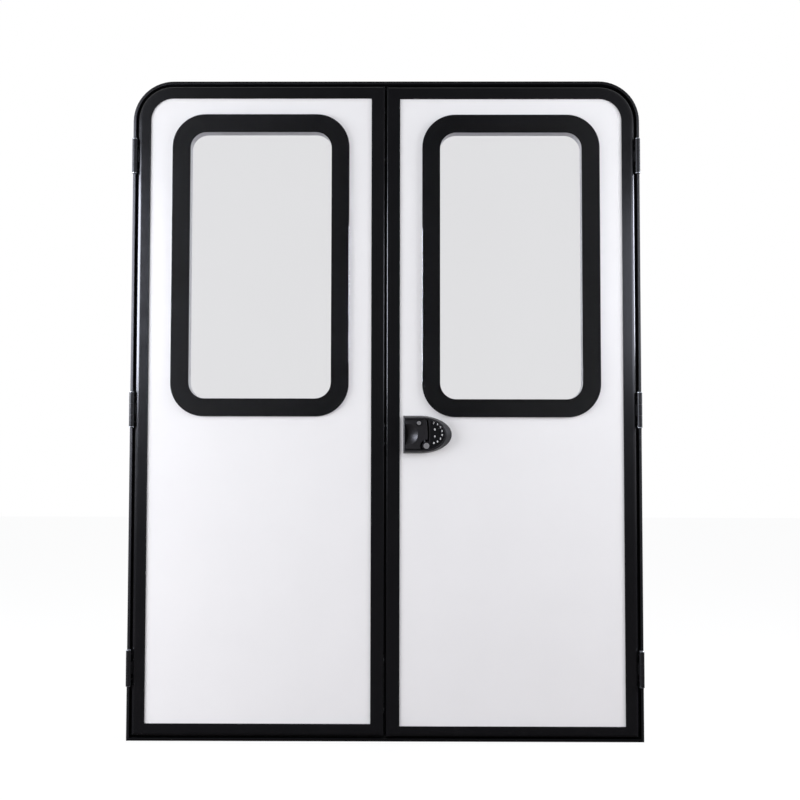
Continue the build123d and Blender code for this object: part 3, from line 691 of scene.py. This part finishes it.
def add_light_panel(name, place, target, size, brightness, mirrored):
    """A rectangular studio light that faces a point: a softbox, or a card that shows in gloss alone."""
    width, height = size
    lamp = bpy.data.lights.new(name, "AREA")
    lamp.shape = "RECTANGLE"
    lamp.size = width
    lamp.size_y = height
    lamp.energy = brightness * math.pi * width * height
    lamp.color = linear("#EAEEFF" if mirrored else "#F9FAFF")[:3]
    panel = bpy.data.objects.new(name, lamp)
    bpy.context.scene.collection.objects.link(panel)
    aim = (Vector(target) - Vector(place)).to_track_quat("-Z", "Y")
    panel.matrix_world = Matrix.Translation(place) @ aim.to_matrix().to_4x4()
    panel.visible_glossy = mirrored
    panel.visible_diffuse = not mirrored
    panel.visible_transmission = False


def make_lights():
    """A softbox on each side of the door, and cards whose mirror images run down the trim."""
    left_low, left_edge, right_edge = (-0.6, 0.0, 0.8), (-0.6, 0.0, 1.3), (0.6, 0.0, 1.3)
    add_light_panel("left_softbox", (-2.6, -0.6, 0.85), left_low, (2.2, 1.7), 7.8, mirrored=False)
    add_light_panel("right_softbox", (2.3, -0.35, 1.4), right_edge, (1.6, 1.0), 11.7, mirrored=False)
    add_light_panel("left_card", (-1.83, -0.7, 1.4), left_edge, (1.95, 0.85), 26, mirrored=True)
    add_light_panel("right_card", (1.9, 0.12, 1.455), right_edge, (0.7, 0.65), 24, mirrored=True)
    add_light_panel("right_front_card", (1.72, -1.2, 1.42), right_edge, (1.7, 0.75), 5, mirrored=True)


def make_camera():
    """The photograph's view: square on, a little right of the middle and below it."""
    lens_mm, sensor_mm = 43.27, 36.0
    place = Vector((0.0508, -2.5, 0.7781))
    yaw, pitch, roll = (math.radians(angle) for angle in (-0.297, 2.263, 0.084))
    data = bpy.data.cameras.new("photo_camera")
    data.lens = lens_mm
    data.sensor_width = sensor_mm
    camera = bpy.data.objects.new("photo_camera", data)
    bpy.context.scene.collection.objects.link(camera)
    turn = Matrix.Rotation(-yaw, 4, "Z") @ Matrix.Rotation(math.pi / 2 + pitch, 4, "X")
    camera.matrix_world = Matrix.Translation(place) @ turn @ Matrix.Rotation(roll, 4, "Z")
    bpy.context.scene.camera = camera


# Putting it together


def make_finishes():
    """Every finish of the door, by a short name."""
    return {
        "gelcoat": gelcoat_sheet(),
        "powder": powder_coat(),
        "frame coat": frame_coat(),
        "glass": safety_glass(),
        "band": ceramic_print(),
        "abs": pale_abs(),
        "rubber": epdm_rubber(),
        "hinge": hinge_paint(),
        "plated": plated_steel(),
        "paddle key": nickel_plate("paddle_key_cylinder", PADDLE_PLUG_R),
        "bolt key": nickel_plate("bolt_key_cylinder", BOLT_PLUG_R),
        "stainless": brushed_stainless(),
        "lock": moulded_lock_body(),
        "lens": keypad_lens(),
        "keys": key_rubber(),
        "print": white_print(),
    }


def dress_nodes(finishes):
    """Gives every CAD node its finish, by the first of these words that its name holds."""
    words = {
        "leaf_panel": "gelcoat",
        "trim": "powder",
        "frame_seal": "rubber",
        "_half": "hinge",
        "frame_": "frame coat",
        "window_glass": "glass",
        "window_border": "band",
        "window_inner_frame": "abs",
        "hinge_pins": "plated",
        "strike_plate": "stainless",
        "latch_plate": "stainless",
        "latch_bolt": "plated",
        "flush_bolts": "stainless",
        "paddle_key_cylinder": "paddle key",
        "bolt_key_cylinder": "bolt key",
        "lock_keypad": "lens",
        "lock_keys": "keys",
        "lock_paddle_pin": "plated",
        "lock_": "lock",
    }
    for name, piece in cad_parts.items():
        finish = next(finish for word, finish in words.items() if word in name)
        piece.data.materials.clear()
        piece.data.materials.append(finishes[finish])


def fasten(plated):
    """The screws of the hinges, the windows, the edge plates and the lock's inside plate."""
    flat = model_screw("flat_screw", head_d=5.6 * MM, head_t=0.8 * MM, recess=0.5 * MM)
    pan = model_screw("pan_screw", head_d=7.0 * MM, head_t=2.2 * MM, recess=1.2 * MM)
    for side in SIDES:
        leaf = f"{side}_leaf"
        seats = hinge_screw_seats(side, "frame_half")
        put_screws(f"{side}_frame_hinge_screws", flat, seats, plated, "frame")
        seats = hinge_screw_seats(side, "leaf_half")
        put_screws(f"{side}_leaf_hinge_screws", flat, seats, plated, leaf)
        seats = window_screw_seats(side)
        put_screws(f"{side}_window_screws", pan, seats, plated, leaf)
    seats = plate_screw_seats("latch_plate", direction=-1)
    put_screws("latch_plate_screws", flat, seats, plated, "right_leaf")
    seats = plate_screw_seats("strike_plate", direction=1) + flush_bolt_screw_seats()
    put_screws("strike_plate_screws", flat, seats, plated, "left_leaf")
    seats = inside_plate_screw_seats()
    put_screws("inside_plate_screws", pan, seats, plated, "right_leaf")
    for screw in (flat, pan):
        bpy.data.objects.remove(screw)


def main():
    """Dresses the CAD nodes, adds the scene's own pieces and sets the stage."""
    bpy.context.scene.view_settings.view_transform = "Standard"
    finishes = make_finishes()
    dress_nodes(finishes)
    meeting_seal(finishes["rubber"])
    for side in SIDES:
        printed_band(side, finishes["band"])
    fasten(finishes["plated"])
    key_digits(finishes["print"])
    make_world()
    make_floor()
    make_lights()
    make_camera()


main()
